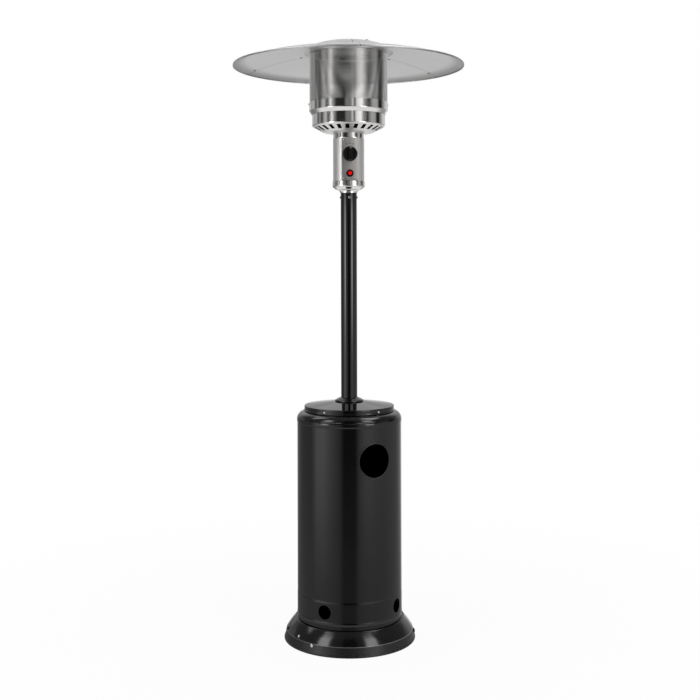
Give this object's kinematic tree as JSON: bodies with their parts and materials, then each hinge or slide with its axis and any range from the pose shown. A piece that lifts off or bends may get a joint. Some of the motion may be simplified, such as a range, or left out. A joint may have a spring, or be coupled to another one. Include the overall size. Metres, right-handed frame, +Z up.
{
  "type": "patio heater",
  "caption": "Free-standing gas patio heater with a flared base, a lifting bottle barrel, a post, a control head, a burner screen and a wide dome reflector.",
  "frame": {"origin": "centre of the base on the floor", "axes": "+Z up along the post, -Y out of the control panel, +X to the right when facing the panel"},
  "size_m": [0.813, 0.813, 2.0952],
  "materials": {
    "black_coat": "gloss black powder coat on steel",
    "black_trim": "black trim",
    "black_screw": "black oxide steel",
    "bright_screw": "bright zinc",
    "zinc": "zinc-plated steel",
    "satin_steel": "satin stainless steel",
    "polished_steel": "polished stainless steel",
    "perforated_steel": "perforated stainless steel",
    "reflector_sheet": "satin aluminium sheet",
    "aluminium_pipe": "drawn aluminium",
    "brass": "machined brass",
    "copper": "copper",
    "ceramic": "white ceramic",
    "black_plastic": "moulded black plastic",
    "red_plastic": "moulded red plastic"
  },
  "bodies": {
    "root": {"band_screws": "bright_screw", "base_skirt": "black_coat", "base_tray": "black_coat", "bowl_neck": "polished_steel", "burner_bowl": "polished_steel", "burner_gauze": "perforated_steel", "burner_head": "satin_steel", "burner_plate": "satin_steel", "control_can": "satin_steel", "control_panel": "satin_steel", "crown_screws": "bright_screw", "emitter_cap": "satin_steel", "emitter_ring": "polished_steel", "emitter_screen": "perforated_steel", "feed_pipe": "aluminium_pipe", "flange_bolts": "zinc", "front_screws": "bright_screw", "gas_valve": "brass", "head_base": "satin_steel", "head_cup": "polished_steel", "igniter_housing": "black_plastic", "igniter_nut": "black_plastic", "igniter_spring": "zinc", "leg_foot_bolts": "zinc", "main_jet": "brass", "mixing_tube": "satin_steel", "panel_screws": "bright_screw", "pilot_bracket": "satin_steel", "pilot_burner": "satin_steel", "pilot_pipe": "aluminium_pipe", "post_flange": "black_coat", "post_screws": "bright_screw", "post_tube": "black_coat", "reflector_crown": "reflector_sheet", "reflector_panel_1": "reflector_sheet", "reflector_panel_2": "reflector_sheet", "reflector_panel_3": "reflector_sheet", "rim_bolts": "black_screw", "seam_screws": "black_screw", "spark_electrode": "ceramic", "spindle_spring": "zinc", "standoff_nuts": "zinc", "standoffs": "zinc", "support_leg_1": "zinc", "support_leg_2": "zinc", "support_leg_3": "zinc", "thermocouple": "copper", "tilt_switch": "black_plastic", "valve_inlet": "brass", "valve_nut": "zinc"},
    "barrel_assembly": {"barrel": "black_coat", "hand_hole_trim": "black_trim", "barrel_lid": "black_coat", "lid_screws": "bright_screw", "post_collar": "black_coat"},
    "valve_cock": {"valve_plug": "brass"},
    "knob": {"valve_spindle": "zinc", "control_knob": "black_plastic"},
    "push_button": {"igniter_button": "red_plastic"}
  },
  "joints": [
    {"name": "barrel_lift", "type": "slide", "parent": "root", "child": "barrel_assembly", "axis": [0, 0, 1], "range_m": [0, 0.68]},
    {"name": "knob_turn", "type": "hinge", "parent": "root", "child": "valve_cock", "pos_m": [0, -0.03, 1.6955], "axis": [0, -1, 0], "range_deg": [0, 180]},
    {"name": "knob_press", "type": "slide", "parent": "valve_cock", "child": "knob", "axis": [0, 1, 0], "range_m": [0, 0.004], "stiffness_N_per_m": 1500, "springref_m": -0.002, "deforming": ["spindle_spring"]},
    {"name": "button_press", "type": "slide", "parent": "root", "child": "push_button", "axis": [0, 1, 0], "range_m": [0, 0.005], "stiffness_N_per_m": 800, "springref_m": -0.002, "deforming": ["igniter_spring"]}
  ]
}
